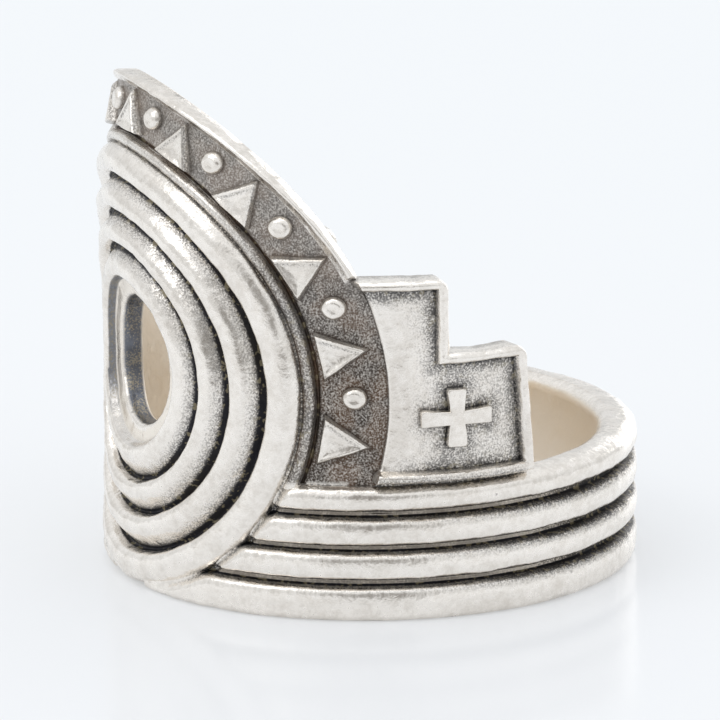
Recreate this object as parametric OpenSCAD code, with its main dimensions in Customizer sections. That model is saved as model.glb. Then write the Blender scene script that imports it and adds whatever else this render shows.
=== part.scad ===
// Crown ring in cast silver: a band of four wires under a tall round crown and two stepped shoulders.
// Lengths are millimetres. The finger axis is Z, the ring stands on z = 0 and the crown faces -Y.
//
// The ornament is laid out flat and then wrapped round the finger axis. On the flat sheet x runs
// sideways from the crown's centre line, z is the height, and each millimetre of x turns the ring
// by turn_per_mm degrees. A radius on the sheet is measured from the centre of the crown.

/* [Band] */
// Diameter of the finger hole
bore_d = 18.2;
// Height of the band
band_height = 5.55;
// Radius over the crests of the wires
wire_r = 10.75;
// Radius of the floors between the wires
wire_groove_r = 10.25;
// Outer radius of the plain ring behind the wires
core_r = 10;

/* [Crown] */
// Degrees of turn for each millimetre of the flat sheet
turn_per_mm = 6;
// Height of the centre of the crown
crown_z = 8.95;
// Sheet radius of the crown's outer edge
crown_edge = 12.12;
// Radius of the sunk field between the rings and the edge
field_r = 10.3;
// Number of segments round the rings of the crown
ring_segments = 64;
// Number of segments along the field
field_segments = 54;

/* [Shoulders] */
// Height of the upper step
upper_step_z = 13.9;
// Height of the lower step
lower_step_z = 10.85;
// Height of the shoulder's bottom rim
shoulder_foot_z = 5.7;
// Sheet distance from the centre line to the end of the upper step
upper_step_x = 14.27;
// Sheet distance from the centre line to the end of the lower step, at its top
lower_step_x = 17.3;
// Radius of the rounded outer corner of each step
corner_r = 0.5;

/* [Hidden] */

// Sheet radii and surface radii of the crown's rings, from the hole outwards
ring_profile = [
    [2.55, 9.93], [2.95, 10.02], [3.28, 10.1], [3.38, 10.46], [3.5, 10.58], [3.75, 10.65],
    [4.02, 10.57], [4.2, 10.38], [4.36, 10.22], [4.62, 10.18], [4.78, 10.4], [4.84, 10.66],
    [4.98, 10.78], [5.2, 10.8], [5.4, 10.7], [5.56, 10.44], [5.7, 10.22], [5.97, 10.18],
    [6.14, 10.4], [6.2, 10.68], [6.34, 10.82], [6.6, 10.85], [6.86, 10.74], [7.04, 10.46],
    [7.18, 10.22], [7.46, 10.18], [7.63, 10.42], [7.69, 10.7], [7.85, 10.85], [8.2, 10.9],
    [8.55, 10.84], [8.78, 10.72], [8.93, 10.48],
];

// Sheet radii and surface radii of the ridge and the deep groove round the rings, and of the field
field_profile = [
    [8.5, 10.3], [9.0, 10.34], [9.06, 10.54], [9.22, 10.58], [9.38, 10.48], [9.45, 10.12],
    [9.56, 10.12], [9.62, field_r], [10.6, field_r], [11.6, field_r],
];
// The raised lip that closes the field; beside a shoulder the field runs on to the edge instead
lip_profile = [[11.72, 10.37], [11.86, 10.47], [11.98, 10.57], [12.07, 10.53], [crown_edge, 10.35]];

// Surface radius behind the relief, inside the finger hole
behind = 8.6;
// Surface radius of the bevelled back edge of the crown and the shoulders
back_edge_r = 9.75;
// Height where the crown's field starts, below the top of the band
field_start_z = 5.3;

// Bottom and top of each wire, and the sheet x where it comes out from under the crown's outer ring
band_wires = [[0, 1.55, 1.6], [1.55, 2.95, 4.9], [2.95, 4.35, 6.4], [4.35, band_height, 7.3]];

// Point on the wrapped sheet
function wrapped(x, z, radius) =
    [radius * sin(turn_per_mm * x), -radius * cos(turn_per_mm * x), z];

// Sheet radius after the crown's slight flattening towards its top
function flattened(r, angle) = r - 0.11 * max(0, r - 7) * pow(max(0, sin(angle)), 2);

// How far the top of the crown leans in over the finger at a height
function lean(z) = 0.03 * pow(max(0, z - 14.5), 1.6);

// How much lower the rings stand beside the band than at the height of the hole
function low_part(z) = 0.15 * min(1, max(0, (8 - z) / 3));

// Point on the wrapped sheet from a sheet radius and an angle round the crown's centre
function around(r, angle, radius) =
    let (z = crown_z + flattened(r, angle) * sin(angle))
    wrapped(flattened(r, angle) * cos(angle), z, radius - lean(z));

// Two triangles for four corners, clockwise when seen from outside
function quad(a, b, c, d) = [[a, b, c], [a, c, d]];

// Straight blend from a to b
function blend(a, b, share) = a + (b - a) * share;

// Round of the band with a profile, from the sheet distance end_x round the back to the other side
module band_round(end_x, profile) {
    start = turn_per_mm * end_x;
    rotate([0, 0, start - 90])
        rotate_extrude(angle = 360 - 2 * start, $fn = 96) polygon(profile);
}

// One wire of the band; the lowest and the highest wire carry the band's own edges
module wire(bottom, top, end_x) {
    middle = (bottom + top) / 2;
    half = (top - bottom) / 2;
    inner = core_r - 0.4;
    root = core_r + 0.1;
    lower = bottom == 0
        ? [[inner, 0], [wire_groove_r, 0], [wire_r - 0.2, 0.18]]
        : [[inner, bottom + 0.08], [root, bottom + 0.08], [wire_r - 0.2, bottom + 0.2]];
    upper = top == band_height
        ? [[wire_r - 0.2, top - 0.18], [wire_r - 0.45, top - 0.04], [core_r + 0.05, top], [inner, top]]
        : [[wire_r - 0.2, top - 0.2], [root, top - 0.08], [inner, top - 0.08]];
    crest = [[wire_r - 0.06, middle - half + 0.34], [wire_r, middle], [wire_r - 0.06, middle + half - 0.34]];
    band_round(end_x, concat(lower, crest, upper));
}

// Floor of the groove between two wires, at a height
module groove_floor(height, end_x) {
    inner = core_r - 0.4;
    band_round(end_x, [
        [inner, height - 0.2], [wire_groove_r, height - 0.2],
        [wire_groove_r, height + 0.2], [inner, height + 0.2],
    ]);
}

// The crown's rings round its hole
module crown_rings() {
    rows = len(ring_profile);
    columns = ring_segments;
    angles = [for (j = [0 : columns - 1]) 360 * j / columns];
    function height(r, angle) = crown_z + r * sin(angle);
    front = [
        for (p = ring_profile) for (a = angles)
            around(p[0], a, p[1] - low_part(height(p[0], a)))
    ];
    inner_back = [for (a = angles) around(ring_profile[0][0], a, behind)];
    outer_back = [for (a = angles) around(ring_profile[rows - 1][0], a, behind)];
    function at(i, j) = i * columns + (j % columns);
    faces = [
        for (j = [0 : columns - 1]) each [
            for (i = [0 : rows - 2]) each quad(at(i, j), at(i, j + 1), at(i + 1, j + 1), at(i + 1, j)),
            each quad(at(0, j + 1), at(0, j), at(rows, j), at(rows, j + 1)),
            each quad(at(rows - 1, j), at(rows - 1, j + 1), at(rows + 1, j + 1), at(rows + 1, j)),
            each quad(at(rows, j), at(rows + 1, j), at(rows + 1, j + 1), at(rows, j + 1)),
        ]
    ];
    polyhedron(points = concat(front, inner_back, outer_back), faces = faces);
}

// Angle round the crown's centre where the sheet radius r reaches the height z on the +x side
function angle_at(r, z) = asin((z - crown_z) / r);

// Angle of one column of the field; share runs from 0 at the +x end to 1 at the -x end
function field_angle(r, share) =
    blend(angle_at(r, band_height - 0.05), 180 - angle_at(r, band_height - 0.05), share);

// Whether the lip stands at an angle round the crown's centre
function has_lip(angle) = angle > 25 && angle < 155;

// The ridge, the deep groove, the sunk field and the lip, above the band
module crown_field() {
    profile = concat(field_profile, lip_profile);
    rows = len(profile);
    shares = concat([-1], [for (j = [0 : field_segments]) j / field_segments], [2]);
    columns = len(shares);
    function is_end(share) = share < 0 || share > 1;
    function angle(r, share) =
        share < 0 ? angle_at(r, field_start_z)
        : share > 1 ? 180 - angle_at(r, field_start_z)
        : field_angle(r, share);
    function level(i, share) =
        is_end(share) ? 10.2
        : i >= len(field_profile) && !has_lip(angle(profile[i][0], share)) ? field_r
        : profile[i][1];
    front = [
        for (i = [0 : rows - 1]) for (s = shares)
            around(profile[i][0], angle(profile[i][0], s), level(i, s))
    ];
    back_rows = [[8.5, behind], [11.3, behind], [crown_edge, back_edge_r]];
    back = [for (p = back_rows) for (s = shares) around(p[0], angle(p[0], s), p[1])];
    function at(i, j) = i * columns + j;
    function cap(j) = [
        [at(rows, j), at(0, j), at(rows + 1, j)],
        for (i = [0 : rows - 2]) [at(i, j), at(i + 1, j), at(rows + 1, j)],
        [at(rows - 1, j), at(rows + 2, j), at(rows + 1, j)],
    ];
    function reversed(triangles) = [for (t = triangles) [t[0], t[2], t[1]]];
    faces = [
        for (j = [0 : columns - 2]) each [
            for (i = [0 : rows - 2]) each quad(at(i, j), at(i, j + 1), at(i + 1, j + 1), at(i + 1, j)),
            each quad(at(0, j + 1), at(0, j), at(rows, j), at(rows, j + 1)),
            each quad(at(rows - 1, j), at(rows - 1, j + 1), at(rows + 2, j + 1), at(rows + 2, j)),
            each quad(at(rows, j), at(rows + 1, j), at(rows + 1, j + 1), at(rows, j + 1)),
            each quad(at(rows + 1, j), at(rows + 2, j), at(rows + 2, j + 1), at(rows + 1, j + 1)),
        ],
        each cap(0),
        each reversed(cap(columns - 1)),
    ];
    polyhedron(points = concat(front, back), faces = faces);
}

// One three-sided stud of the field, its base towards the rings and its tip towards the edge; its
// top falls towards the tip and is a little hollow between its edges
module stud(angle) {
    corners = [[9.82, angle - 6], [11.62, angle], [9.82, angle + 6]];
    rim = [[9.93, angle - 5.2, 0.4], [11.4, angle, 0.26], [9.93, angle + 5.2, 0.4]];
    low = [for (c = corners) around(c[0], c[1], field_r - 0.5)];
    foot = [for (c = corners) around(c[0], c[1], field_r + 0.04)];
    top = [for (c = rim) around(c[0], c[1], field_r + c[2])];
    hollow = [around(10.4, angle, field_r + 0.3)];
    polyhedron(
        points = concat(low, foot, top, hollow),
        faces = [
            [0, 1, 2], each quad(0, 3, 4, 1), each quad(1, 4, 5, 2), each quad(2, 5, 3, 0),
            each quad(3, 6, 7, 4), each quad(4, 7, 8, 5), each quad(5, 8, 6, 3),
            [6, 9, 7], [7, 9, 8], [8, 9, 6],
        ]
    );
}

// One round boss of the field
module boss(angle) {
    translate(around(10.88, angle, field_r)) sphere(r = 0.5, $fn = 14);
}

// Eleven three-sided studs and ten bosses in turn, the middle stud straight above the crown's centre
module field_ornament() {
    step = 9.92;
    for (k = [-5 : 5])
        stud(90 + 2 * step * k);
    for (k = [-5 : 4])
        boss(90 + 2 * step * k + step);
}

// How far a rounded corner sets an end back at a distance under the top of its step
function corner_cut(drop) =
    drop >= corner_r || drop < 0 ? 0 : corner_r - sqrt(corner_r * corner_r - pow(corner_r - drop, 2));

// Sheet distance of the upper step's end at a height
function upper_end(z) = upper_step_x - corner_cut(upper_step_z - z);

// Sheet distance of the shoulder's outer end at a height; the end leans out a little downwards
function shoulder_end(z) =
    lower_step_x + 0.065 * (lower_step_z - min(z, lower_step_z)) - corner_cut(lower_step_z - z);

// Sheet distance of the crown's round edge at a height
function crown_side(z) = sqrt(crown_edge * crown_edge - (z - crown_z) * (z - crown_z));

// Distance from a point of the shoulder to the nearest edge that carries a rim
function rim_distance(x, z) = min(
    shoulder_end(z) - x, upper_step_z - z, z - shoulder_foot_z,
    max(upper_end(z) - x, lower_step_z - z)
);

// Surface radius of the shoulder: a rim along its edges, and a sunk ground inside the rim that
// falls a little towards the crown's field
function shoulder_level(x, z) =
    let (d = rim_distance(x, z))
    z < shoulder_foot_z ? 10.15
    : d < 0.05 ? 10.8
    : d < 0.4 ? 10.92
    : blend(10.43, 10.5, min(1, (x - crown_side(z)) / 1.5));

// One stepped shoulder on the +x side
module shoulder() {
    left = [0, 0.35, 0.7];
    heights = [
        field_start_z, shoulder_foot_z - 0.04, shoulder_foot_z, shoulder_foot_z + 0.08, shoulder_foot_z + 0.34,
        shoulder_foot_z + 0.46, 7.1, 8, 8.9, 9.7, lower_step_z - 0.46, lower_step_z - 0.34,
        lower_step_z - 0.08, lower_step_z, 11.6, 12.5, upper_step_z - 0.46, upper_step_z - 0.34,
        upper_step_z - 0.08, upper_step_z,
    ];
    function row_x(z) = concat(
        [for (s = left) blend(crown_side(z), upper_end(z) - 0.46, s)],
        [for (d = [0.46, 0.34, 0.08, 0]) upper_end(z) - d],
        [for (s = [0.33, 0.66]) blend(upper_end(z), shoulder_end(z) - 0.46, s)],
        [for (d = [0.46, 0.34, 0.08, 0]) shoulder_end(z) - d]
    );
    rows = len(row_x(0 + shoulder_foot_z));
    columns = len(heights);
    step_row = len(left) + 3;
    step_column = 13;
    function present(i, j) =
        i >= 0 && j >= 0 && i < rows - 1 && j < columns - 1 && (i < step_row || j < step_column);
    function at(side, i, j) = (side * rows + i) * columns + j;
    function back_x(i, z) = i == 0 ? row_x(z)[0] - 0.9 : row_x(z)[i];
    front = [for (i = [0 : rows - 1]) for (z = heights) wrapped(row_x(z)[i], z, shoulder_level(row_x(z)[i], z))];
    back = [for (i = [0 : rows - 1]) for (z = heights) wrapped(back_x(i, z), z, behind)];
    apex = [wrapped(12, 8, behind - 2)];
    apex_index = 2 * rows * columns;
    // Wall and back triangle along one open edge, from grid point (i, j) to grid point (k, l)
    function open_edge(i, j, k, l) = concat(
        quad(at(0, k, l), at(0, i, j), at(1, i, j), at(1, k, l)),
        [[at(1, k, l), at(1, i, j), apex_index]]
    );
    faces = [
        for (i = [0 : rows - 2]) for (j = [0 : columns - 2]) if (present(i, j)) each [
            each quad(at(0, i, j), at(0, i, j + 1), at(0, i + 1, j + 1), at(0, i + 1, j)),
            each present(i - 1, j) ? [] : open_edge(i, j, i, j + 1),
            each present(i + 1, j) ? [] : open_edge(i + 1, j + 1, i + 1, j),
            each present(i, j - 1) ? [] : open_edge(i + 1, j, i, j),
            each present(i, j + 1) ? [] : open_edge(i, j + 1, i + 1, j + 1),
        ]
    ];
    polyhedron(points = concat(front, back, apex), faces = faces);
}

// The raised cross on the +x shoulder, its arms a little wider at their ends
module cross() {
    centre_z = 8.25;
    reach_x = 1.3;
    reach_z = 1.17;
    back_r = 9.4;
    front_r = 10.82;
    rotate([0, 0, turn_per_mm * 14.53 - 90])
        translate([back_r, 0, centre_z])
            rotate([90, 0, 90])
                linear_extrude(height = front_r - back_r)
                    polygon([
                        [-0.28, 0.28], [-0.35, reach_z], [0.35, reach_z], [0.28, 0.28],
                        [reach_x, 0.35], [reach_x, -0.35], [0.28, -0.28],
                        [0.35, -reach_z], [-0.35, -reach_z], [-0.28, -0.28],
                        [-reach_x, -0.35], [-reach_x, 0.35],
                    ]);
}

// The finger hole
module finger_hole() {
    translate([0, 0, -1]) cylinder(d = bore_d, h = 24, $fn = 128);
}

// The crown and the shoulders, faceted and joined as one body; the zeros keep its size as drawn
module relief() {
    resize([0, 0, 0])
        union() {
            crown_rings();
            crown_field();
            field_ornament();
            shoulder();
            mirror([1, 0, 0]) shoulder();
            cross();
            mirror([1, 0, 0]) cross();
        }
}

// The relief with the first so many pieces of the band: the wires, then the groove floors, each joined in turn
module banded_relief(count) {
    wires = len(band_wires);
    if (count == 0)
        relief();
    else
        union() {
            banded_relief(count - 1);
            if (count <= wires)
                wire(band_wires[count - 1][0], band_wires[count - 1][1], band_wires[count - 1][2]);
            else
                groove_floor(band_wires[count - wires][0], band_wires[count - wires][2]);
        }
}

// The whole ring, cast in one piece, with the plain round of the band behind its wires
module ring() {
    color([0.78, 0.76, 0.73])
        difference() {
            union() {
                banded_relief(2 * len(band_wires) - 1);
                cylinder(r = core_r, h = band_height, $fn = 96);
            }
            finger_hole();
        }
}

ring();
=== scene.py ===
"""Crown ring in cast silver with an oxidised ground, standing on a pale glossy floor.

The relief is drawn on a flat sheet, as in the CAD part, and wrapped round the finger axis. On the sheet, x
runs sideways from the crown's centre line, z is the height, and the surface radius is the distance from the
finger axis. A sheet radius is the distance from the crown's centre. All of them are in millimetres.
"""

import math

import bmesh
import bpy
import numpy as np
from mathutils import Matrix


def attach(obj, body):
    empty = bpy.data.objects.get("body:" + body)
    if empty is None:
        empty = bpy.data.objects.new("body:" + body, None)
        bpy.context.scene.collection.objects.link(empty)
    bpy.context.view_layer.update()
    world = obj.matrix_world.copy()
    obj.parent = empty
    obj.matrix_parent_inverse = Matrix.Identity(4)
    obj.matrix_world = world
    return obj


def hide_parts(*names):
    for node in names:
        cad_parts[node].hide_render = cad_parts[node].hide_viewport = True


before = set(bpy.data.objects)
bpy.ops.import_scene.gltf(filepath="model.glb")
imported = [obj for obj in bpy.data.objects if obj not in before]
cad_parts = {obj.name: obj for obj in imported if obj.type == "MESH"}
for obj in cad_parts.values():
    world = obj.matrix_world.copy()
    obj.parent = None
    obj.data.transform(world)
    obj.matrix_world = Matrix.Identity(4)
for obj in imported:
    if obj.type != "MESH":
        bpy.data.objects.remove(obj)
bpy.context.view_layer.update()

METRES = 0.001
# Turn round the finger axis for a millimetre of the sheet, and the sheet's length once round
TURN = math.radians(6.0)
ONCE_ROUND = 60

# The band; the edges are the heights where one wire ends and the next starts
BORE_R = 9.1
BAND_HEIGHT = 5.55
WIRE_R = 10.75
WIRE_GROOVE_R = 10.22
WIRE_EDGES = [0.0, 1.55, 2.95, 4.35, BAND_HEIGHT]
WIRE_STARTS = [1.6, 4.9, 6.4, 7.3]
CORE_R = 9.8
GROOVE_FLOOR_HALF = 0.065

# The crown
CROWN_Z = 8.95
CROWN_EDGE = 12.12
RINGS_END = 8.97
FIELD_R = 10.3
FIELD_START_Z = 5.3
LIP_START = 11.6
LIP_END_ANGLE = math.radians(65)
ORNAMENT_STEP = 9.92
STUD_BASE_R = 9.8
STUD_TIP_R = 11.64
STUD_HALF = math.radians(6.1)
STUD_HEIGHT = 0.42
STUD_FALL = 0.17
BOSS_R = 10.88
BOSS_HALF_WIDTH = 0.52
BOSS_HALF_HEIGHT = 0.46
BOSS_RISE = 0.42
FLATTENING = 0.11
FLAT_FROM_R = 7
LEAN_FROM_Z = 14.5

# Surface radii that the finger hole cuts away or that lie hidden in the wall, and the slope of the free edges
CUT_AWAY_R = 8.6
BEHIND = 8.7
BACK_EDGE_R = 9.75
BACK_SLOPE = 1.6
HIDDEN_R = 9.5

# The shoulders
UPPER_STEP_Z = 13.9
LOWER_STEP_Z = 10.85
FOOT_Z = 5.66
UPPER_STEP_X = 14.27
LOWER_STEP_X = 17.3
END_SLOPE = 0.065
CORNER_R = 0.5
CROSS_X = 14.53
CROSS_Z = 8.25
CROSS_REACH_X = 1.3
CROSS_REACH_Z = 1.17
CROSS_WIDE = 0.35
CROSS_NARROW = 0.27

# How finely the curved parts are divided
RING_PARTS = 220
FIELD_PARTS = 200
BORE_PARTS = 200
WIRE_END_PARTS = 40
WIRE_PARTS = 99

# Sheet radius and surface radius of the crown's rings, from the hole outwards
RING_PROFILE = [
    (2.55, 9.0), (2.55, 9.18), (2.55, 9.93), (2.95, 10.02), (3.28, 10.1), (3.38, 10.46), (3.5, 10.6),
    (3.75, 10.66), (4.02, 10.6), (4.25, 10.48), (4.46, 10.34), (4.66, 10.18), (4.75, 10.17), (4.8, 10.36),
    (4.84, 10.66), (4.98, 10.78), (5.2, 10.8), (5.4, 10.74), (5.62, 10.56), (5.82, 10.36), (6.02, 10.18),
    (6.11, 10.17), (6.16, 10.36), (6.2, 10.68), (6.34, 10.82), (6.6, 10.86), (6.86, 10.79), (7.08, 10.6),
    (7.3, 10.38), (7.5, 10.18), (7.6, 10.17), (7.65, 10.38), (7.69, 10.7), (7.85, 10.86), (8.2, 10.9),
    (8.5, 10.84), (8.72, 10.72), (8.87, 10.56), (8.95, 10.38), (8.97, 10.0),
]
# The ridge and the deep groove round the rings, the sunk field, and the lip
FIELD_PROFILE = [
    (8.5, 10.3), (8.95, 10.38), (9.0, 10.45), (9.12, 10.54), (9.28, 10.57), (9.42, 10.5), (9.47, 10.14),
    (9.55, 10.12), (9.62, FIELD_R - 0.02), (9.9, FIELD_R), (10.6, FIELD_R), (11.3, FIELD_R), (11.6, FIELD_R),
    (11.7, 10.35), (11.84, 10.45), (11.96, 10.57), (12.05, 10.58), (12.11, 10.46), (CROWN_EDGE, 10.25),
]
# Sheet radii of the steep outer sides of the grooves between the rings
GROOVE_EDGES = [4.84, 6.2, 7.69]


def rounded(points, times=2):
    """Outline with its corners cut so that it curves; its two ends stay."""
    line = np.array(points, float)
    for _ in range(times):
        here = line[:-1]
        after = line[1:]
        cut = np.empty((2 * len(here), line.shape[1]))
        cut[0::2] = 0.75 * here + 0.25 * after
        cut[1::2] = 0.25 * here + 0.75 * after
        line = np.vstack([line[:1], cut, line[-1:]])
    return line


def smoothstep(value, low, high):
    """Smooth rise from 0 at low to 1 at high."""
    share = np.clip((value - low) / (high - low), 0, 1)
    return share * share * (3 - 2 * share)


def lean(z):
    """How far the top of the crown leans in over the finger."""
    return 0.03 * np.maximum(0, z - LEAN_FROM_Z) ** 1.6


def low_part(z):
    """How much lower the rings stand beside the band."""
    return 0.15 * np.clip((8 - z) / 3, 0, 1)


def flattened(r, angle):
    """Sheet radius after the crown's slight flattening towards its top."""
    return r - FLATTENING * np.maximum(0, r - FLAT_FROM_R) * np.maximum(0, np.sin(angle)) ** 2


def before_flattening(r, angle):
    """Sheet radius that flattened() has turned into r."""
    squeeze = FLATTENING * np.maximum(0, np.sin(angle)) ** 2
    return r + squeeze * np.maximum(0, r - FLAT_FROM_R) / (1 - squeeze)


def placed(sheet):
    """Points of the sheet (x, z, surface radius) wrapped round the finger axis, in metres."""
    sheet = np.asarray(sheet, float)
    x = sheet[..., 0]
    z = sheet[..., 1]
    radius = sheet[..., 2] - lean(z)
    return METRES * np.stack([radius * np.sin(TURN * x), -radius * np.cos(TURN * x), z], axis=-1)


def polar(r, angle, radius):
    """Sheet point at a sheet radius and an angle round the crown's centre."""
    r = flattened(np.asarray(r, float), angle)
    x = r * np.cos(angle)
    z = CROWN_Z + r * np.sin(angle)
    return np.stack(np.broadcast_arrays(x, z, radius), axis=-1)


def linked(name, mesh):
    """Object of a mesh, with unused points dropped and every face turned outwards."""
    piece = bpy.data.objects.new(name, mesh)
    bpy.context.scene.collection.objects.link(piece)
    work = bmesh.new()
    work.from_mesh(mesh)
    loose = [v for v in work.verts if not v.link_faces]
    bmesh.ops.delete(work, geom=loose, context="VERTS")
    bmesh.ops.recalc_face_normals(work, faces=work.faces)
    if work.calc_volume(signed=True) < 0:
        bmesh.ops.reverse_faces(work, faces=work.faces)
    work.to_mesh(mesh)
    work.free()
    return piece


def from_points(name, points, faces):
    mesh = bpy.data.meshes.new(name)
    mesh.from_pydata([tuple(p) for p in points], [], faces)
    mesh.validate()
    return linked(name, mesh)


def from_work(name, work, sheet):
    """Object of a bmesh whose points move to the wrapped places of the sheet points."""
    for vertex, point in zip(work.verts, placed(sheet)):
        vertex.co = point
    mesh = bpy.data.meshes.new(name)
    work.to_mesh(mesh)
    work.free()
    return linked(name, mesh)


def plate(name, front, back, present=None, closed=False):
    """Closed solid between two grids of sheet points, with walls round the cells that are present."""
    rows, columns = front.shape[:2]
    if present is None:
        present = np.ones((rows - 1, columns if closed else columns - 1), bool)
    spans = present.shape[1]

    def at(side, i, j):
        return (side * rows + i) * columns + j % columns

    def there(i, j):
        if closed:
            j = j % columns
        return 0 <= i < rows - 1 and 0 <= j < spans and present[i, j]

    faces = []
    for i in range(rows - 1):
        for j in range(spans):
            if not present[i, j]:
                continue
            faces.append((at(0, i, j), at(0, i + 1, j), at(0, i + 1, j + 1), at(0, i, j + 1)))
            faces.append((at(1, i, j), at(1, i, j + 1), at(1, i + 1, j + 1), at(1, i + 1, j)))
            if not there(i - 1, j):
                faces.append((at(0, i, j), at(0, i, j + 1), at(1, i, j + 1), at(1, i, j)))
            if not there(i + 1, j):
                faces.append((at(0, i + 1, j + 1), at(0, i + 1, j), at(1, i + 1, j), at(1, i + 1, j + 1)))
            if not there(i, j - 1):
                faces.append((at(0, i + 1, j), at(0, i, j), at(1, i, j), at(1, i + 1, j)))
            if not there(i, j + 1):
                faces.append((at(0, i, j + 1), at(0, i + 1, j + 1), at(1, i + 1, j + 1), at(1, i, j + 1)))
    points = np.concatenate([placed(front).reshape(-1, 3), placed(back).reshape(-1, 3)])
    return from_points(name, points, faces)


def lathed(name, outline, turns, shape=None):
    """Solid of a closed outline of (radius, z) that is turned round the finger axis.

    The turns are sheet distances. A shape, where given, changes the radius from place to place.
    """
    whole = abs(turns[-1] - turns[0]) >= ONCE_ROUND
    if whole:
        turns = turns[:-1]
    count = len(outline)
    radius, z = np.array(outline, float).T
    x = np.repeat(np.array(turns)[:, None], count, axis=1)
    radius = np.repeat(radius[None, :], len(turns), axis=0)
    z = np.repeat(z[None, :], len(turns), axis=0)
    if shape:
        radius = shape(x, z, radius)
    points = METRES * np.stack([radius * np.sin(TURN * x), -radius * np.cos(TURN * x), z], axis=-1)
    faces = []
    spans = len(turns) if whole else len(turns) - 1
    for i in range(spans):
        here = i * count
        after = ((i + 1) % len(turns)) * count
        for j in range(count):
            k = (j + 1) % count
            faces.append((here + j, after + j, after + k, here + k))
    if not whole:
        faces.append(tuple(range(count)))
        faces.append(tuple(reversed(range((len(turns) - 1) * count, len(turns) * count))))
    return from_points(name, points.reshape(-1, 3), faces)


def crown_rings():
    """Four rounded rings round the pierced hole, with the hole's recessed ledge."""
    profile = rounded(RING_PROFILE)
    angles = np.linspace(0, 2 * math.pi, RING_PARTS + 1)[:-1]
    r, angle = np.meshgrid(profile[:, 0], angles, indexing="ij")
    surface = np.repeat(profile[:, 1:2], len(angles), axis=1)
    drop = low_part(CROWN_Z + r * np.sin(angle))
    front = polar(r, angle, np.where(surface > HIDDEN_R, surface - drop, surface))
    back = polar(r, angle, np.full_like(r, BEHIND))
    return plate("crown_rings", front, back, closed=True)


def angle_at(r, z):
    return np.arcsin(np.clip((z - CROWN_Z) / r, -1, 1))


def beside_shoulder(angle):
    """Where the crown's edge runs along a shoulder and has no lip."""
    return np.abs(angle - math.pi / 2) > LIP_END_ANGLE


def crown_field():
    """The ridge, the deep groove, the sunk field and its raised lip, above the band."""
    profile = rounded(FIELD_PROFILE)
    shares = np.linspace(0, 1, FIELD_PARTS + 1)
    r = np.repeat(profile[:, 0:1], len(shares), axis=1)
    first = angle_at(r, FIELD_START_Z)
    angle = first + (math.pi - 2 * first) * shares[None, :]
    surface = np.repeat(profile[:, 1:2], len(shares), axis=1)
    surface = np.where(beside_shoulder(angle) & (r > LIP_START - 0.1), FIELD_R, surface)
    back = np.maximum(BEHIND, BACK_EDGE_R - BACK_SLOPE * (CROWN_EDGE - r))
    return plate("crown_field", polar(r, angle, surface), polar(r, angle, back))


def stud_corners(angle):
    """Places on the sheet of a stud's first base corner, its tip and its second base corner."""
    corners = ((STUD_BASE_R, angle - STUD_HALF), (STUD_TIP_R, angle), (STUD_BASE_R, angle + STUD_HALF))
    return np.array([polar(r, a, FIELD_R)[:2] for r, a in corners])


def stud(angle):
    """Three-sided stud with steep sides, crisp edges and a hollow top that falls towards the tip."""
    corners = stud_corners(angle)
    after = np.roll(corners, -1, axis=0)
    lengths = np.linalg.norm(after - corners, axis=1)
    weights = np.roll(lengths, -1) / lengths.sum()
    centre = weights @ corners
    base = (corners[0] + corners[2]) / 2
    axis = corners[1] - base
    reach = lengths[2] * np.linalg.norm(axis) / lengths.sum()
    per_side = 10
    shares = np.arange(per_side)[:, None] / per_side
    outline = np.vstack([corners[i] + (after[i] - corners[i]) * shares for i in range(3)])

    def at_inset(inset, rise):
        flat = centre + (outline - centre) * (1 - inset / reach)
        height = STUD_HEIGHT - STUD_FALL * ((flat - base) @ axis) / (axis @ axis)
        return np.column_stack([flat, FIELD_R + rise * height])

    insets = [0, 0, 0.02, 0.06, 0.1, 0.13, 0.16, 0.2, 0.27, 0.36, 0.46]
    rises = [-1.2, 0.0, 0.35, 0.78, 0.95, 1.0, 0.98, 0.92, 0.83, 0.77, 0.75]
    rings = [at_inset(inset, rise) for inset, rise in zip(insets, rises)]
    count = len(outline)
    points = np.vstack(rings + [rings[-1].mean(axis=0)[None, :]])
    faces = [tuple(reversed(range(count)))]
    for k in range(len(rings) - 1):
        low = k * count
        high = low + count
        faces += [(low + i, low + (i + 1) % count, high + (i + 1) % count, high + i) for i in range(count)]
    last = (len(rings) - 1) * count
    faces += [(last + i, last + (i + 1) % count, len(points) - 1) for i in range(count)]
    return from_points("stud", placed(points), faces)


def boss(angle):
    """Round boss with a slightly hollow top."""
    centre = polar(BOSS_R, angle, FIELD_R)
    work = bmesh.new()
    bmesh.ops.create_uvsphere(work, u_segments=30, v_segments=18, radius=1)
    around_finger = FIELD_R * TURN
    hollow_from = 0.88
    ball = np.array([tuple(v.co) for v in work.verts])
    rise = np.sign(ball[:, 2]) * np.abs(ball[:, 2]) ** 0.75
    rise = np.where(rise > hollow_from, hollow_from - 0.7 * (rise - hollow_from), rise)
    sheet = np.stack([centre[0] + BOSS_HALF_WIDTH * ball[:, 0] / around_finger,
                      centre[1] + BOSS_HALF_HEIGHT * ball[:, 1],
                      centre[2] + BOSS_RISE * rise], axis=-1)
    return from_work("boss", work, sheet)


def corner_cut(drop):
    """How far a rounded corner sets a step's end back, at a distance under the step's top."""
    inside = (drop >= 0) & (drop < CORNER_R)
    rise = CORNER_R - np.clip(drop, 0, CORNER_R)
    return np.where(inside, CORNER_R - np.sqrt(np.maximum(0, CORNER_R ** 2 - rise ** 2)), 0)


def upper_end(z):
    return UPPER_STEP_X - corner_cut(UPPER_STEP_Z - z)


def shoulder_end(z):
    sloped = LOWER_STEP_X + END_SLOPE * (LOWER_STEP_Z - np.minimum(z, LOWER_STEP_Z))
    return sloped - corner_cut(LOWER_STEP_Z - z)


def crown_side(z):
    return np.sqrt(CROWN_EDGE ** 2 - (z - CROWN_Z) ** 2)


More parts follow.
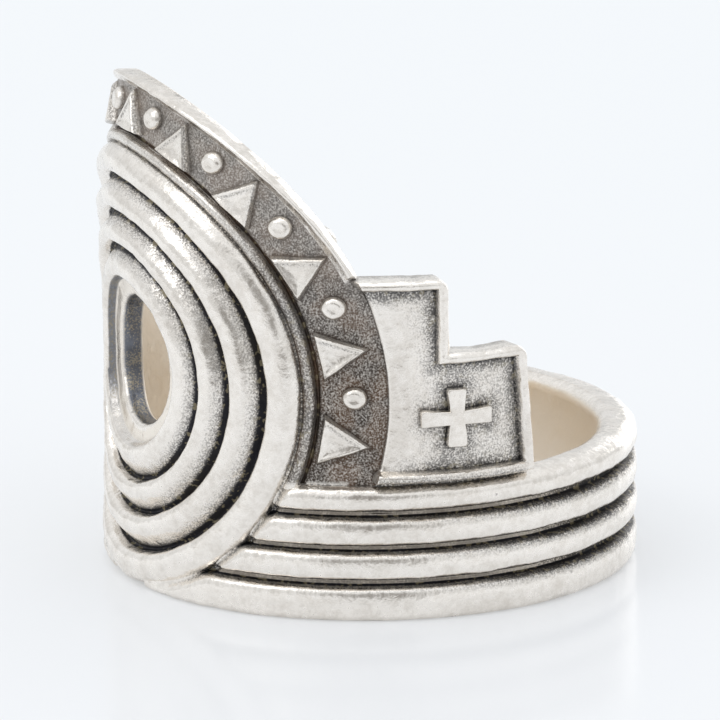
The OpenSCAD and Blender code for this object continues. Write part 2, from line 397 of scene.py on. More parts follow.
def step_depth(x, z):
    """How far a sheet point lies inside the shoulder's stepped outline, its foot apart."""
    depth = np.minimum(shoulder_end(z) - x, UPPER_STEP_Z - z)
    return np.minimum(depth, np.maximum(upper_end(z) - x, LOWER_STEP_Z - z))


def shoulder_level(x, z):
    """Surface radius of the shoulder: a round rim on its edges, and a ground a little above the field."""
    depth = np.minimum(step_depth(x, z), z - FOOT_Z)
    rim = np.interp(depth, [-0.01, 0, 0.05, 0.12, 0.22, 0.32, 0.38, 0.44, 0.5],
                    [10.3, 10.68, 10.82, 10.9, 10.93, 10.89, 10.8, 10.56, 10.4])
    beside = x - crown_side(z)
    ground = np.interp(beside, [0, 0.03, 0.08, 0.7, 1.7], [10.37, 10.42, 10.45, 10.52, 10.5])
    return np.where(z < FOOT_Z, 10.3, np.maximum(rim, ground))


def shoulder(side):
    """One stepped shoulder; side is 1 on the +x side and -1 on the other."""
    rim = np.array([0, 0.02, 0.06, 0.12, 0.2, 0.3, 0.37, 0.42, 0.47, 0.55])
    down = -rim[::-1]
    heights = np.concatenate([
        [FIELD_START_Z, FOOT_Z - 0.05], FOOT_Z + rim, np.linspace(FOOT_Z + 0.75, LOWER_STEP_Z - 0.75, 24),
        LOWER_STEP_Z + down, np.linspace(LOWER_STEP_Z + 0.15, UPPER_STEP_Z - 0.7, 14), UPPER_STEP_Z + down,
    ])
    upper_shares = np.concatenate([[0, 0.008, 0.02, 0.06, 0.1], np.linspace(0.16, 1, 17)])
    lower_shares = np.linspace(0, 1, 16)[1:]
    lines = []
    for z in heights:
        low = crown_side(z)
        middle = upper_end(z)
        end = shoulder_end(z)
        part_one = low + (middle - rim[-1] - low) * upper_shares
        part_two = middle + down[1:]
        part_three = middle + (end - rim[-1] - middle) * lower_shares
        part_four = end + down[1:]
        lines.append(np.concatenate([part_one, part_two, part_three, part_four]))
    x = np.array(lines).T
    z = np.repeat(heights[None, :], x.shape[0], axis=0)
    middle_row = len(upper_shares) + len(rim) - 2
    step_column = int(np.argmin(np.abs(heights - LOWER_STEP_Z)))
    present = np.ones((x.shape[0] - 1, x.shape[1] - 1), bool)
    present[middle_row:, step_column:] = False
    back = np.maximum(BEHIND, BACK_EDGE_R - BACK_SLOPE * np.maximum(step_depth(x, z), 0))
    # The back starts in under the crown, so that the two overlap
    tucked_in = 0.9
    back_x = x - np.where(np.arange(x.shape[0])[:, None] == 0, tucked_in, 0)
    front_sheet = np.stack([side * x, z, shoulder_level(x, z)], axis=-1)
    back_sheet = np.stack([side * back_x, z, back], axis=-1)
    return plate("shoulder", front_sheet, back_sheet, present)


def cross(side):
    """Raised cross with slightly wider arm ends and softened top edges."""
    narrow = CROSS_NARROW
    wide = CROSS_WIDE
    end = wide - 0.04
    long_x = CROSS_REACH_X
    long_z = CROSS_REACH_Z
    near_x = long_x - 0.1
    near_z = long_z - 0.12
    outline = [
        (-narrow, narrow), (-wide, near_z), (-end, long_z), (end, long_z), (wide, near_z),
        (narrow, narrow), (near_x, wide), (long_x, end), (long_x, -end), (near_x, -wide),
        (narrow, -narrow), (wide, -near_z), (end, -long_z), (-end, -long_z), (-wide, -near_z),
        (-narrow, -narrow), (-near_x, -wide), (-long_x, -end), (-long_x, end), (-near_x, wide),
    ]
    count = len(outline)
    work = bmesh.new()
    made = []
    for level in (9.6, 10.9):
        made += [work.verts.new((side * (CROSS_X + x), CROSS_Z + z, level)) for x, z in outline]
    work.faces.new(made[:count])
    work.faces.new(made[count:])
    for i in range(count):
        j = (i + 1) % count
        work.faces.new([made[i], made[j], made[count + j], made[count + i]])
    bmesh.ops.recalc_face_normals(work, faces=work.faces)
    top = set(made[count:])
    top_edges = [e for e in work.edges if e.verts[0] in top and e.verts[1] in top]
    bmesh.ops.bevel(work, geom=top_edges, offset=0.07, segments=3, profile=0.5, affect="EDGES")
    bmesh.ops.triangulate(work, faces=work.faces)
    long_edges = [e for e in work.edges if e.calc_length() > 0.25]
    bmesh.ops.subdivide_edges(work, edges=long_edges, cuts=2, use_grid_fill=True)
    bmesh.ops.triangulate(work, faces=work.faces)
    return from_work("cross", work, [tuple(v.co) for v in work.verts])


def dipped(x, z, radius):
    """Radius of a wire's surface, which falls away where it runs in under the crown's outermost ring."""
    side = np.minimum(x, ONCE_ROUND - x)
    near = 1 - smoothstep(np.hypot(side, z - CROWN_Z), 8.92, 9.3)
    depth = np.minimum(0.34 * near * smoothstep(z, -0.2, 0.9), np.maximum(0, radius - 10.05))
    return radius - depth


def wire(bottom, top, start):
    """One round-topped wire of the band, from the crown round the back to the crown's other side."""
    middle = (bottom + top) / 2
    half = (top - bottom) / 2
    if bottom > 0:
        lower = [(WIRE_GROOVE_R, bottom), (WIRE_GROOVE_R, bottom + 0.05), (WIRE_GROOVE_R, bottom + 0.11),
                 (WIRE_R - 0.2, bottom + 0.17)]
    else:
        lower = [(10.3, 0), (10.48, 0.03), (WIRE_R - 0.14, 0.16)]
    if top < BAND_HEIGHT:
        upper = [(WIRE_R - 0.2, top - 0.2), (WIRE_GROOVE_R, top - 0.12), (WIRE_GROOVE_R, top - 0.05),
                 (WIRE_GROOVE_R, top)]
    else:
        upper = [(WIRE_R - 0.2, top - 0.17), (WIRE_R - 0.45, top - 0.04), (9.9, top)]
    crest = [(WIRE_R - 0.05, middle - half + 0.32), (WIRE_R, middle), (WIRE_R - 0.05, middle + half - 0.32)]
    outline = np.vstack([[(HIDDEN_R, bottom)], rounded(lower + crest + upper), [(HIDDEN_R, top)]])
    # The ends, where the wire dips under the crown, are divided more finely
    fine = 4
    first = start + fine
    last = ONCE_ROUND - fine - start
    turns = np.concatenate([np.linspace(start, first, WIRE_END_PARTS + 1),
                            np.linspace(first, last, WIRE_PARTS + 1)[1:-1],
                            np.linspace(last, ONCE_ROUND - start, WIRE_END_PARTS + 1)])
    return lathed("wire", outline, turns, dipped)


def rim_softening():
    """Cutter that rounds the inner edge of the band's top, where the band stands free at the back."""
    above = BAND_HEIGHT + 0.2
    outline = [
        (CUT_AWAY_R, 5.0), (BORE_R, 5.0), (BORE_R + 0.05, 5.2), (BORE_R + 0.16, 5.37), (BORE_R + 0.32, 5.49),
        (BORE_R + 0.5, BAND_HEIGHT - 0.005), (BORE_R + 0.5, above), (CUT_AWAY_R, above),
    ]
    gap = 0.6
    turns = np.linspace(LOWER_STEP_X + gap, ONCE_ROUND - gap - LOWER_STEP_X, 91)
    return lathed("rim_softening", outline, turns)


def joined(pieces):
    """Several separate pieces as one object."""
    bpy.context.view_layer.update()
    bpy.ops.object.select_all(action="DESELECT")
    for piece in pieces:
        piece.select_set(True)
    bpy.context.view_layer.objects.active = pieces[0]
    bpy.ops.object.join()
    return pieces[0]


def combined(body, piece, operation):
    """One solid from two: operation is UNION or DIFFERENCE."""
    change = body.modifiers.new(operation, "BOOLEAN")
    change.operation = operation
    change.solver = "MANIFOLD"
    change.object = piece
    bpy.context.view_layer.update()
    evaluated = body.evaluated_get(bpy.context.evaluated_depsgraph_get())
    mesh = bpy.data.meshes.new_from_object(evaluated)
    body.modifiers.clear()
    old = body.data
    body.data = mesh
    bpy.data.meshes.remove(old)
    bpy.data.objects.remove(piece)
    return body


def build_ring():
    """The whole casting as one solid."""
    step = ORNAMENT_STEP
    ornament = [stud(math.radians(90 + 2 * step * k)) for k in range(-5, 6)]
    ornament += [boss(math.radians(90 + (2 * k + 1) * step)) for k in range(-5, 5)]
    body = crown_rings()
    body = combined(body, crown_field(), "UNION")
    body = combined(body, joined(ornament), "UNION")
    body = combined(body, joined([shoulder(1), shoulder(-1)]), "UNION")
    body = combined(body, joined([cross(1), cross(-1)]), "UNION")
    full_turn = np.linspace(0, ONCE_ROUND, BORE_PARTS + 1)
    core = [(CUT_AWAY_R, 0), (CORE_R, 0), (CORE_R, BAND_HEIGHT), (CUT_AWAY_R, BAND_HEIGHT)]
    body = combined(body, lathed("core", core, full_turn), "UNION")
    for bottom, top, start in zip(WIRE_EDGES[:-1], WIRE_EDGES[1:], WIRE_STARTS):
        body = combined(body, wire(bottom, top, start), "UNION")
    wall = [(BORE_R, z) for z in np.arange(-1, 23, 0.9)]
    hole = [(0.01, wall[0][1])] + wall + [(0.01, wall[-1][1])]
    body = combined(body, lathed("hole", hole, full_turn), "DIFFERENCE")
    body = combined(body, rim_softening(), "DIFFERENCE")
    body.name = "ring_casting"
    return body


def wobble(points, length, seed):
    """Smooth uneven field, mostly -1 to 1, with bumps about as long as length, in metres."""
    random = np.random.default_rng(seed)
    total = np.zeros(len(points))
    count = 26
    for _ in range(count):
        direction = random.normal(size=3)
        direction /= np.linalg.norm(direction)
        wave = 2 * math.pi / (length * random.uniform(0.7, 1.6))
        total += np.sin(points @ direction * wave + random.uniform(0, 2 * math.pi))
    return total / math.sqrt(count / 2)


def sheet_of(points):
    """Sheet x, height and surface radius of points in metres."""
    mm = points / METRES
    radius = np.hypot(mm[:, 0], mm[:, 1])
    x = np.arctan2(mm[:, 0], -mm[:, 1]) / TURN
    return x, mm[:, 2], radius


def stud_places(x, z):
    """How far a sheet point lies inside the nearest stud's outline, and inside that stud's upper edge."""
    inside = np.full(len(x), -9.0)
    upper = np.full(len(x), -9.0)
    for k in range(-5, 6):
        corners = stud_corners(math.radians(90 + 2 * ORNAMENT_STEP * k))
        after = np.roll(corners, -1, axis=0)
        depths = []
        for start, end in zip(corners, after):
            along = (end - start) / np.linalg.norm(end - start)
            depths.append((z - start[1]) * along[0] - (x - start[0]) * along[1])
        nearest = np.min(depths, axis=0)
        edge = depths[0] if k > 0 else depths[1] if k < 0 else np.minimum(depths[0], depths[1])
        upper = np.where(nearest > inside, edge, upper)
        inside = np.maximum(inside, nearest)
    return inside, upper


def cross_distance(side, z):
    """Sheet distance from the nearest cross's outline, outwards."""
    across = np.abs(side - CROSS_X)
    along = np.abs(z - CROSS_Z)
    flat = np.hypot(np.maximum(across - CROSS_REACH_X, 0), np.maximum(along - CROSS_WIDE, 0))
    upright = np.hypot(np.maximum(across - CROSS_WIDE, 0), np.maximum(along - CROSS_REACH_Z, 0))
    return np.minimum(flat, upright)


def groove_distance(z):
    """Distance in height from the middle of the nearest groove between two wires."""
    return np.min(np.abs(np.array(WIRE_EDGES[1:-1])[:, None] - z[None, :]), axis=0)


def stepped(value, edges, shares):
    """Straight-line steps between shares, at edges that differ from point to point."""
    result = np.full(len(value), shares[0])
    for low, high, first, second in zip(edges[:-1], edges[1:], shares[:-1], shares[1:]):
        part = np.clip((value - low) / (high - low), 0, 1)
        result = np.where(value > low, first + (second - first) * part, result)
    return result


def crest_wear(angle):
    """How much the ridge is polished, which grows towards the crown's top."""
    return smoothstep(np.sin(angle), 0.5, 0.85)


def ring_oxide(r, level, z, angle):
    """Oxide of the crown's rings: black beside each groove's outer wall, fading over the soft flank."""
    depth = level + low_part(z)
    oxide = np.zeros(len(r))
    for edge in GROOVE_EDGES:
        inward = edge - r
        line = 0.38 - 0.17 * smoothstep(-angle, 0.7, 1.3)
        line_edges = [np.full(len(r), 0.06), line, line + 0.08, line + 0.26, line + 0.46, line + 0.62]
        flank = stepped(inward, line_edges, [1.0, 0.95, 0.62, 0.44, 0.15, 0.0])
        wall = 1 - smoothstep(depth, 10.3, 10.42)
        share = np.where(inward < 0.15, np.maximum(wall, np.where(inward > 0.06, flank, 0)), flank)
        oxide = np.where((inward > -0.03) & (inward < 1.0), share, oxide)
    beside_field = z > BAND_HEIGHT - 0.2
    outer = np.where(beside_field, 0.5, 0.55 * smoothstep(z, 0.2, 1.6))
    outer_start = np.where(beside_field, 8.66, 8.8)
    oxide = np.where(r > 8.5, outer * smoothstep(r, outer_start, 8.95), oxide)
    return np.where(r < 3.75, 0.0, oxide)


def field_oxide(x, z, level, r, angle):
    """Oxide of the ridge, the deep groove, the studs and the lip."""
    on_lip = (r > LIP_START - 0.02) & ~beside_shoulder(angle)
    deep = 1 - smoothstep(level, 10.16, FIELD_R - 0.04)
    low_side = 1 - smoothstep(np.sin(angle), 0.66, 0.86)
    lip = np.where(r < LIP_START + 0.34, 0.1 + 0.26 * low_side, 0.1)
    oxide = np.where(on_lip, lip, deep)
    inside, upper = stud_places(x, z)
    on_stud = (inside > -0.04) & (level > FIELD_R + 0.03) & (r < STUD_TIP_R + 0.05)
    stud_side = 0.6 * (1 - smoothstep(inside, 0.07, 0.13))
    stud_top = 0.52 * smoothstep(upper, 0.15, 0.2) * (1 - smoothstep(upper, 0.25, 0.44))
    oxide = np.where(on_stud, np.maximum(stud_side, stud_top), oxide)
    on_ridge = (r > RINGS_END) & (r < 9.44) & (level > 10.3)
    ridge = np.interp(r, [8.98, 9.14, 9.3, 9.42], [0.85, 0.76, 0.66, 0.8]) * (1 - 0.45 * crest_wear(angle))
    return np.where(on_ridge, ridge, oxide)


def shoulder_oxide(side, z, level):
    """Oxide of a shoulder's ground, thickest along the rims and round the cross, and of its foot."""
    beside = side - crown_side(np.clip(z, 0, 20))
    near_rim = np.minimum(step_depth(side, z), z - FOOT_Z)
    rim_stain = 0.36 * (1 - smoothstep(near_rim, 0.42, 1.2)) * smoothstep(beside, -0.1, 0.9)
    cross_stain = 0.3 * (1 - smoothstep(cross_distance(side, z), 0.05, 0.75))
    stain = 0.1 + 0.32 * smoothstep(beside, 0.4, 2.2) + rim_stain + cross_stain
    lowest = 1 - smoothstep(level, 10.6, 10.76)
    top_corner = smoothstep(z, UPPER_STEP_Z - 1.4, UPPER_STEP_Z - 0.6) * (near_rim > 0.4)
    stain = np.maximum(stain * lowest, 0.74 * top_corner * lowest)
    foot = 0.32 + 0.3 * (1 - smoothstep(z, FOOT_Z + 0.12, FOOT_Z + 0.32))
    foot = np.where(z < FOOT_Z + 0.45, foot, 0)
    under_foot = (z < FOOT_Z + 0.04) & (level < 10.66)
    fade = smoothstep(shoulder_end(z) - side, -0.1, 0.8)
    return np.where(under_foot, 0.62 * fade, np.maximum(np.maximum(stain, foot * fade), 0.08))


def band_oxide(side, z, level, r):
    """Oxide of the band: two black lines in each groove, a dull groove floor, and a stippled upper flank."""
    below = np.array(WIRE_EDGES[1:-1])[:, None] - z[None, :]
    oxide = 0.95 * (1 - smoothstep(level, 10.27, 10.42))
    at_back = smoothstep(side, 10, 19)
    flank = np.interp(below, [0.0, 0.08, 0.14, 0.2, 0.42], [0.0, 0.92, 0.8, 0.36, 0.0]).max(axis=0)
    wide_flank = np.interp(below, [0.0, 0.1, 0.22, 0.34, 0.62], [0.0, 0.95, 0.85, 0.55, 0.0]).max(axis=0)
    oxide = np.maximum(oxide, flank + (wide_flank - flank) * at_back)
    on_floor = (groove_distance(z) < GROOVE_FLOOR_HALF) & (level < 10.3)
    oxide = np.where(on_floor, 0.85 * smoothstep(side, 14, 22), oxide)
    crease = (1 - smoothstep(r, 8.98, 9.3)) * smoothstep(z, 0.2, 1.2)
    crease = np.where(level < 10.6, 0.7, 0.5) * crease
    oxide = np.maximum(oxide, np.where(side < 9, crease, 0))
    beyond = 0.3 * (1 - smoothstep(level, 9.9, 10.25)) * (1 - smoothstep(side, 19, 25))
    beside_foot = 0.62 * (1 - smoothstep(level, 10.31, 10.38))
    top = np.where(side < LOWER_STEP_X + 0.2, beside_foot, 0.08 + beyond)
    oxide = np.where(z > BAND_HEIGHT - 0.3, top, oxide)
    return np.where(z < 0.2, 0.06, oxide)


def dull_field(z, level, r, angle):
    """How much of the dark cast ground shows on the field and on the ridge beside it."""
    sunk = 1 - smoothstep(level, FIELD_R + 0.05, FIELD_R + 0.22)
    sunk = sunk * (1 - 0.2 * smoothstep(z, 9, 18))
    on_ridge = (r > 8.93) & (r < 9.46)
    ridge = np.interp(r, [8.98, 9.12, 9.3, 9.42], [0.8, 0.5, 0.35, 0.6]) * (1 - 0.75 * crest_wear(angle))
    reach = np.where(beside_shoulder(angle), CROWN_EDGE + 0.02, LIP_START + 0.08)
    return np.where((level > 10.03) & (r < reach), np.where(on_ridge, ridge, sunk), 0.0)


def patina_of(points):
    """Black oxide, dull cast ground, smooth tarnish of the pierced hole, painted shade on the hole's recess
    and a painted warm reflection on the metal, 0 to 1.
    """
    x, z, radius = sheet_of(points)
    side = np.abs(x)
    level = radius + lean(z)
    plain_r = np.hypot(x, z - CROWN_Z)
    angle = np.arctan2(z - CROWN_Z, x)
    r = before_flattening(plain_r, angle)
    above_band = z > BAND_HEIGHT - 0.05
    on_rings = r < RINGS_END
    on_field = ~on_rings & (r < CROWN_EDGE + 0.02) & above_band
    on_shoulder = (r >= CROWN_EDGE + 0.02) & above_band
    groove_floor = (groove_distance(z) < GROOVE_FLOOR_HALF) & (level < 10.3) & (level > 10.1)
    groove_floor &= ~on_rings & ~above_band

    oxide = np.where(on_shoulder, shoulder_oxide(side, z, level), field_oxide(x, z, level, r, angle))
    oxide = np.where(above_band, oxide, band_oxide(side, z, level, r))
    oxide = np.where(on_rings, ring_oxide(r, level, z, angle), oxide)
    back_edge = (level < 10.03) & (r > 9.6) & above_band
    oxide = np.where(back_edge, 0.0, oxide)
    ground = np.where(on_field, dull_field(z, level, r, angle), 0.0)
    ground = np.where(groove_floor, 0.6 * (1 - smoothstep(side, 14, 22)), ground)

    hole_wall = (plain_r < 2.62) & (level > 9.12) & (level < 9.96)
    recess = (plain_r > 3.27) & (plain_r < 3.44) & (level > 9.7) & (level < 10.45)
    # Turn away from straight down: the recess's tarnish and oxide are painted darker above the hole, where
    # its wall faces down, as painted shade, and lighter at the bottom, where it faces up to the light
    from_bottom = np.abs((angle + math.pi / 2 + math.pi) % (2 * math.pi) - math.pi)
    shade_above_hole = 0.25 + 0.75 * smoothstep(from_bottom, 0.5, 1.2)
    tarnish = np.where(hole_wall, 1.0, np.where(recess, 0.8 * shade_above_hole, 0.0))
    oxide = np.where(recess, 0.7 * shade_above_hole, oxide)
    finger_side = (radius < 9.6) & (plain_r > 2.7)
    oxide = np.where(finger_side, 0.0, oxide)
    ground = np.where(finger_side, 0.0, ground)
    # Painted warm reflection: the hole's ledge and the floors of the band's grooves take the finger hole's
    # tan
    ledge = (plain_r > 2.6) & (plain_r < 3.27) & (level > 9.9) & (level < 10.2)
    warm_reflection = np.where(ledge, 0.5, np.where(groove_floor, 1.0, 0.0))
    return np.clip(oxide, 0, 1), np.clip(ground, 0, 1), tarnish, warm_reflection


def vectors(mesh, name):
    """One vector for each point of a mesh, such as its place or its normal."""
    values = np.zeros(3 * len(mesh.vertices))
    mesh.vertices.foreach_get(name, values)
    return values.reshape(-1, 3)


def age_ring(body):
    """Uneven cast surface, and the patina, the painted shade of the hole's recess and the painted warm
    reflection as values at each point.
    """
    mesh = body.data
    points = vectors(mesh, "co")
    normals = vectors(mesh, "normal")
    oxide, ground, tarnish, warm_reflection = patina_of(points)
    z, radius = sheet_of(points)[1:]
    # The finger hole stays smooth, and the foot stays flat on the floor
    free = smoothstep(radius, BORE_R + 0.1, BORE_R + 0.5)
    shift = 0.011 * wobble(points, 1.6 * METRES, 3) + 0.006 * wobble(points, 0.6 * METRES, 5)
    moved = points + normals * (METRES * shift * free)[:, None]
    moved[:, 2] = np.where(z < 0.02, points[:, 2], np.maximum(moved[:, 2], 0))
    mesh.vertices.foreach_set("co", moved.reshape(-1))
    # Painted warm reflection: tan in the finger hole and at the places of the warm reflection above
    inside = np.maximum(warm_reflection, 1 - smoothstep(radius, BORE_R + 0.02, BORE_R + 0.2))
    for name, share in (("oxide", oxide), ("ground", ground), ("tarnish", tarnish), ("inside", inside)):
        values = mesh.attributes.new(name, "FLOAT", "POINT")
        values.data.foreach_set("value", share.astype(np.float32))
    mesh.update()
    for polygon in mesh.polygons:
        polygon.use_smooth = True
    mesh.set_sharp_from_angle(angle=math.radians(38))


class Nodes:
    """Short hand for building a tree of nodes."""

    def __init__(self, tree):
        self.tree = tree

    def add(self, kind, **settings):
        node = self.tree.nodes.new(kind)
        for key, value in settings.items():
            setattr(node, key, value)
        return node

    def wire(self, source, target):
        self.tree.links.new(source, target)

    def share(self, name):
        """The value that the mesh keeps under a name at each point."""
        return self.add("ShaderNodeAttribute", attribute_name=name).outputs["Fac"]

    def noise(self, scale, detail, where):
        """Uneven field of about 0.5; the scale is its bumps along a metre."""
        node = self.add("ShaderNodeTexNoise")
        node.inputs["Scale"].default_value = scale
        node.inputs["Detail"].default_value = detail
        self.wire(where, node.inputs["Vector"])
        return node.outputs["Fac"]

    def maths(self, operation, first, second=0.0, third=0.0, clamp=False):
        node = self.add("ShaderNodeMath", operation=operation, use_clamp=clamp)
        for slot, value in zip(node.inputs, (first, second, third)):
            if isinstance(value, (int, float)):
                slot.default_value = value
            else:
                self.wire(value, slot)
        return node.outputs[0]

    def centred(self, noise):
        return self.maths("SUBTRACT", noise, 0.5)

    def swung(self, noise, share, base):
        """The base, moved up and down by a share of the noise."""
        return self.maths("MULTIPLY_ADD", self.centred(noise), share, base)

    def ranged(self, value, low, high, new_low, new_high):
        """Smooth change from new_low where the value is low to new_high where it is high."""
        node = self.add("ShaderNodeMapRange", interpolation_type="SMOOTHSTEP")
        self.wire(value, node.inputs["Value"])
        limits = (("From Min", low), ("From Max", high), ("To Min", new_low), ("To Max", new_high))
        for name, number in limits:
            node.inputs[name].default_value = number
        return node.outputs["Result"]

    def mixed(self, share, first, second):
        """Colour between the first, where share is 0, and the second, where it is 1."""
        node = self.add("ShaderNodeMix", data_type="RGBA")
        self.wire(share, node.inputs["Factor"])
        for slot, value in ((node.inputs["A"], first), (node.inputs["B"], second)):
            if isinstance(value, tuple):
                slot.default_value = value
            else:
                self.wire(value, slot)
        return node.outputs["Result"]

    def along(self, where, direction):
        """How far a place lies in a direction."""
        node = self.add("ShaderNodeVectorMath", operation="DOT_PRODUCT")
        node.inputs[1].default_value = direction
        self.wire(where, node.inputs[0])
        return node.outputs["Value"]


class Shader(Nodes):
    """The nodes of one new material."""

    def __init__(self, name):
        self.material = bpy.data.materials.new(name)
        self.material.use_nodes = True
        super().__init__(self.material.node_tree)
        self.surface = self.tree.nodes["Principled BSDF"]
        self.where = self.add("ShaderNodeTexCoord").outputs["Object"]


def oxide_dots(shader, stain, grain, patches):
    """Where black oxide shows: solid where the stain is strong, and fine dots where it is weak."""
    spread = shader.maths("MULTIPLY", shader.centred(grain), 2.0)
    drift = shader.maths("MULTIPLY", shader.centred(patches), 0.6)
    broken = shader.maths("ADD", shader.maths("ADD", stain, spread), drift)
    present = shader.ranged(stain, 0.03, 0.3, 0.0, 1.0)
    dots = shader.maths("MULTIPLY", shader.ranged(broken, 0.12, 0.95, 0.0, 1.0), present)
    dots = shader.maths("MULTIPLY", dots, shader.ranged(stain, 0.2, 1.0, 0.38, 1.0))
    return shader.maths("MAXIMUM", dots, shader.ranged(stain, 0.74, 0.95, 0.0, 1.0))


def ground_tone(shader, ground, hidden, grain, patches):
    """Darkness of the grainy cast ground."""
    tone = shader.swung(grain, 2.1, 0.81)
    tone = shader.swung(patches, 0.5, tone)
    tone = shader.maths("MULTIPLY_ADD", hidden, 0.35, tone, clamp=True)
    return shader.maths("MULTIPLY", tone, ground)


def pit_marks(shader, fine, patches):
    """Scattered small pits, which are missing from the smoother patches."""
    pits = shader.add("ShaderNodeTexVoronoi", feature="F1")
    pits.inputs["Scale"].default_value = 1700
    shader.wire(shader.where, pits.inputs["Vector"])
    size = shader.ranged(patches, 0.52, 0.75, 0.0, 0.13)
    reach = shader.swung(fine, 0.2, pits.outputs["Distance"])
    return shader.maths("MULTIPLY", shader.maths("LESS_THAN", reach, size), 0.42)


def metal_colour(shader, inside, fine, mottling, patches, clouds):
    """Mottled silver, with a painted warm reflection in tan where the finger hole reflects itself, on the
    hole's ledge and on the floors of the band's grooves.
    """
    silver = (0.78, 0.73, 0.665, 1)
    bright = (0.97, 0.925, 0.865, 1)
    reflected_tan = (0.905, 0.825, 0.715, 1)
    large = shader.maths("MULTIPLY", clouds, 0.3)
    mottle = shader.maths("ADD", large, shader.maths("MULTIPLY", patches, 0.35))
    mottle = shader.maths("MULTIPLY_ADD", mottling, 0.35, mottle)
    mottle = shader.swung(fine, 0.3, mottle)
    metal = shader.mixed(shader.ranged(mottle, 0.34, 0.62, 0.0, 1.0), silver, bright)
    return shader.mixed(inside, metal, reflected_tan)


def dark_colour(shader, ground, dots, clouds):
    """Black oxide with a few pale flecks, and the browner cast ground."""
    warm_black = (0.022, 0.019, 0.018, 1)
    cold_black = (0.024, 0.024, 0.03, 1)
    deep_brown = (0.068, 0.053, 0.043, 1)
    rust_brown = (0.135, 0.088, 0.059, 1)
    fleck = (0.4, 0.345, 0.22, 1)
    black = shader.mixed(shader.ranged(clouds, 0.4, 0.6, 0.0, 1.0), warm_black, cold_black)
    rusty = shader.ranged(shader.noise(800, 2, shader.where), 0.36, 0.62, 0.0, 1.0)
    brown = shader.mixed(rusty, deep_brown, rust_brown)
    dark = shader.mixed(ground, black, brown)
    pale = shader.ranged(shader.noise(3600, 2, shader.where), 0.57, 0.63, 0.0, 0.55)
    return shader.mixed(shader.maths("MULTIPLY", pale, dots), dark, fleck)


def film_colour(shader, grain, patches):
    """Grey and gold film on the wall of the pierced hole."""
    grey = (0.17, 0.18, 0.205, 1)
    gold = (0.44, 0.385, 0.29, 1)
    speckle = shader.maths("MULTIPLY_ADD", grain, 0.6, shader.maths("MULTIPLY", patches, 0.4))
    return shader.mixed(shader.ranged(speckle, 0.48, 0.6, 0.0, 0.8), grey, gold)


def surface_bump(shader, stain, ground, inside, grain, fine, mottling, patches):
    """Bumps of the cast surface, roughest on the ground and faint inside the finger hole."""
    stained = shader.maths("MULTIPLY", stain, 0.25)
    rough = shader.ranged(shader.maths("MAXIMUM", ground, stained), 0.05, 0.7, 0.05, 1.0)
    height = shader.maths("MULTIPLY", grain, rough)
    height = shader.maths("MULTIPLY_ADD", fine, 0.08, height)
    height = shader.maths("MULTIPLY_ADD", mottling, 0.8, height)
    height = shader.maths("MULTIPLY_ADD", patches, 2.4, height)
    bump = shader.add("ShaderNodeBump")
    shader.wire(shader.ranged(inside, 0.2, 1, 0.6, 0.22), bump.inputs["Strength"])
    bump.inputs["Distance"].default_value = 0.00004
    shader.wire(height, bump.inputs["Height"])
    return bump.outputs["Normal"]


def silver_material():
    """Worn silver, with black oxide in the grooves that breaks up into fine dots towards the crests."""
    shader = Shader("oxidised_silver")
    oxide = shader.share("oxide")
    ground = shader.share("ground")
    # tarnish holds the film of the hole's wall and, in the recess, painted shade as well
    tarnish = shader.share("tarnish")
    # inside holds the painted warm reflection: the finger hole, the hole's ledge and the band's groove floors
    inside = shader.share("inside")
    grain = shader.noise(14000, 2, shader.where)
    fine = shader.noise(30000, 1, shader.where)
    mottling = shader.noise(4400, 3, shader.where)
    patches = shader.noise(1300, 3, shader.where)
    clouds = shader.noise(260, 2, shader.where)

    recess = shader.add("ShaderNodeAmbientOcclusion", samples=8, only_local=True)
    recess.inputs["Distance"].default_value = 0.00026
    hidden = shader.ranged(recess.outputs["AO"], 0.45, 0.9, 1.0, 0.0)
    stain = shader.maths("MULTIPLY_ADD", hidden, 0.2, oxide, clamp=True)

    dots = oxide_dots(shader, stain, grain, patches)
    marks = shader.maths("MAXIMUM", dots, pit_marks(shader, fine, patches))
    marks = shader.maths("MAXIMUM", marks, ground_tone(shader, ground, hidden, grain, patches))
    metal = metal_colour(shader, inside, fine, mottling, patches, clouds)
    colour = shader.mixed(marks, metal, dark_colour(shader, ground, dots, clouds))
    colour = shader.mixed(tarnish, colour, film_colour(shader, grain, patches))
    shader.wire(colour, shader.surface.inputs["Base Color"])
    shader.wire(shader.ranged(marks, 0, 1, 1.0, 0.7), shader.surface.inputs["Metallic"])

    dull = shader.ranged(marks, 0, 1, 0.22, 0.52)
    dull = shader.maths("MULTIPLY_ADD", inside, 0.2, dull)
    dull = shader.maths("MULTIPLY_ADD", tarnish, 0.15, dull)
    dull = shader.swung(mottling, 0.3, dull)
    dull = shader.swung(patches, 0.2, dull)
    shader.wire(dull, shader.surface.inputs["Roughness"])
    normal = surface_bump(shader, stain, ground, inside, grain, fine, mottling, patches)
    shader.wire(normal, shader.surface.inputs["Normal"])
    return shader.material


def floor_material():
    """White glossy acrylic with a painted glow that lightens the shade under the ring, a little darker
    towards the back of the sweep.
    """
    shader = Shader("floor_white")
    away = shader.along(shader.where, (-0.93, 0.366, 0))
    near = (0.575, 0.585, 0.60, 1)
    far = (0.56, 0.58, 0.595, 1)
    colour = shader.mixed(shader.ranged(away, -0.02, 0.09, 0.0, 1.0), near, far)
    shader.wire(colour, shader.surface.inputs["Base Color"])
    # Painted glow: the floor gives off light of its own, though it is no lamp, which lightens the shade where
    # the ring stands on it
    shader.surface.inputs["Emission Color"].default_value = (0.97, 0.985, 1.0, 1)
    shader.surface.inputs["Emission Strength"].default_value = 0.3
    shader.surface.inputs["Roughness"].default_value = 0.16
    shader.surface.inputs["IOR"].default_value = 1.2
    return shader.material


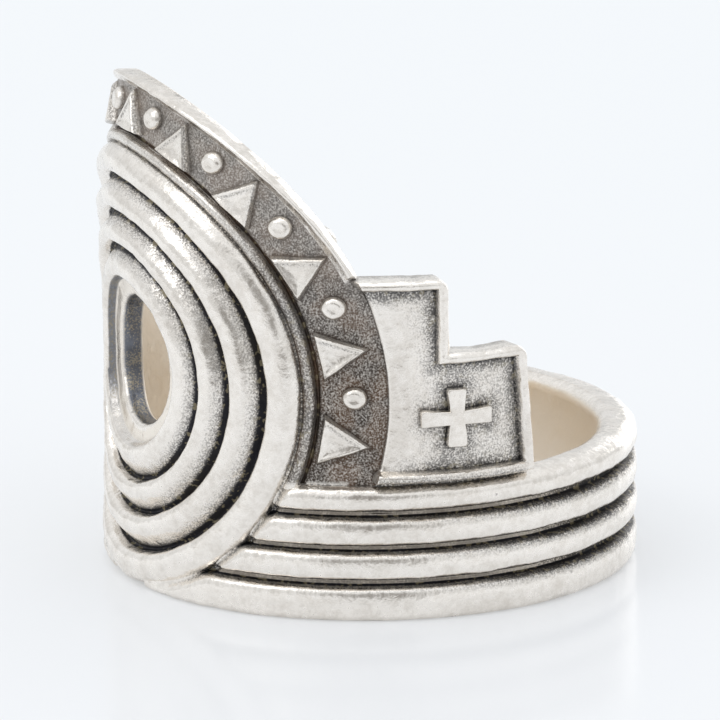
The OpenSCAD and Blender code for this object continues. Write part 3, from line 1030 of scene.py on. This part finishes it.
def add_floor():
    bpy.ops.mesh.primitive_plane_add(size=3.0, location=(0, 0, 0))
    floor = bpy.context.active_object
    floor.name = "floor"
    floor.data.materials.append(floor_material())


def add_light(name, place, size, radiance):
    """Square softbox that faces the ring, with the same brightness all over; place and size in metres."""
    data = bpy.data.lights.new(name, "AREA")
    data.shape = "SQUARE"
    data.size = size
    data.energy = radiance * math.pi * size ** 2
    light = bpy.data.objects.new(name, data)
    light.location = place
    bpy.context.scene.collection.objects.link(light)
    light.rotation_euler = light.location.to_track_quat("Z", "Y").to_euler()


def add_lights():
    add_light("overhead", place=(-0.02, -0.02, 0.45), size=0.26, radiance=1.0)
    add_light("front_left", place=(0.04, -0.29, 0.30), size=0.22, radiance=1.15)
    add_light("back_left", place=(-0.25, 0.27, 0.05), size=0.2, radiance=1.2)


def add_world():
    """White tent, brightest overhead, with a darker opening on the camera's side."""
    world = bpy.data.worlds.new("studio")
    world.use_nodes = True
    nodes = Nodes(world.node_tree)
    where = nodes.add("ShaderNodeTexCoord").outputs["Generated"]
    parts = nodes.add("ShaderNodeSeparateXYZ")
    nodes.wire(where, parts.inputs["Vector"])
    level_tone = (0.745, 0.76, 0.775, 1)
    overhead_tone = (0.92, 0.94, 0.965, 1)
    opening_tone = (0.34, 0.335, 0.33, 1)
    tent = nodes.mixed(nodes.ranged(parts.outputs["Z"], 0.0, 0.8, 0.0, 1.0), level_tone, overhead_tone)
    opening = nodes.ranged(nodes.along(where, (0.9, -0.354, 0.2)), 0.86, 0.985, 0.0, 1.0)
    room = nodes.mixed(opening, tent, opening_tone)
    nodes.wire(room, world.node_tree.nodes["Background"].inputs["Color"])
    bpy.context.scene.world = world


def add_camera():
    """Camera fitted to the photo: a long lens, a little above the band and well round to one side."""
    target = np.array([0.098, -0.4554, 8.0239]) * METRES
    right = np.array([0.368, 0.9298, -0.0059])
    up = np.array([-0.2356, 0.0994, 0.9668])
    back = np.array([0.8995, -0.3543, 0.2556])
    distance = 0.55156
    place = target + back * distance
    data = bpy.data.cameras.new("camera")
    data.sensor_width = 36
    data.lens = 688.1
    data.clip_start = 0.01
    data.clip_end = 20
    camera = bpy.data.objects.new("camera", data)
    bpy.context.scene.collection.objects.link(camera)
    turn = Matrix.Identity(4)
    for i in range(3):
        turn[i][0] = right[i]
        turn[i][1] = up[i]
        turn[i][2] = back[i]
        turn[i][3] = place[i]
    camera.matrix_world = turn
    bpy.context.scene.camera = camera


ring = build_ring()
age_ring(ring)
ring.data.materials.clear()
ring.data.materials.append(silver_material())
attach(ring, "root")
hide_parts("ring")

add_floor()
add_lights()
add_world()
add_camera()
bpy.context.scene.view_settings.view_transform = "Standard"
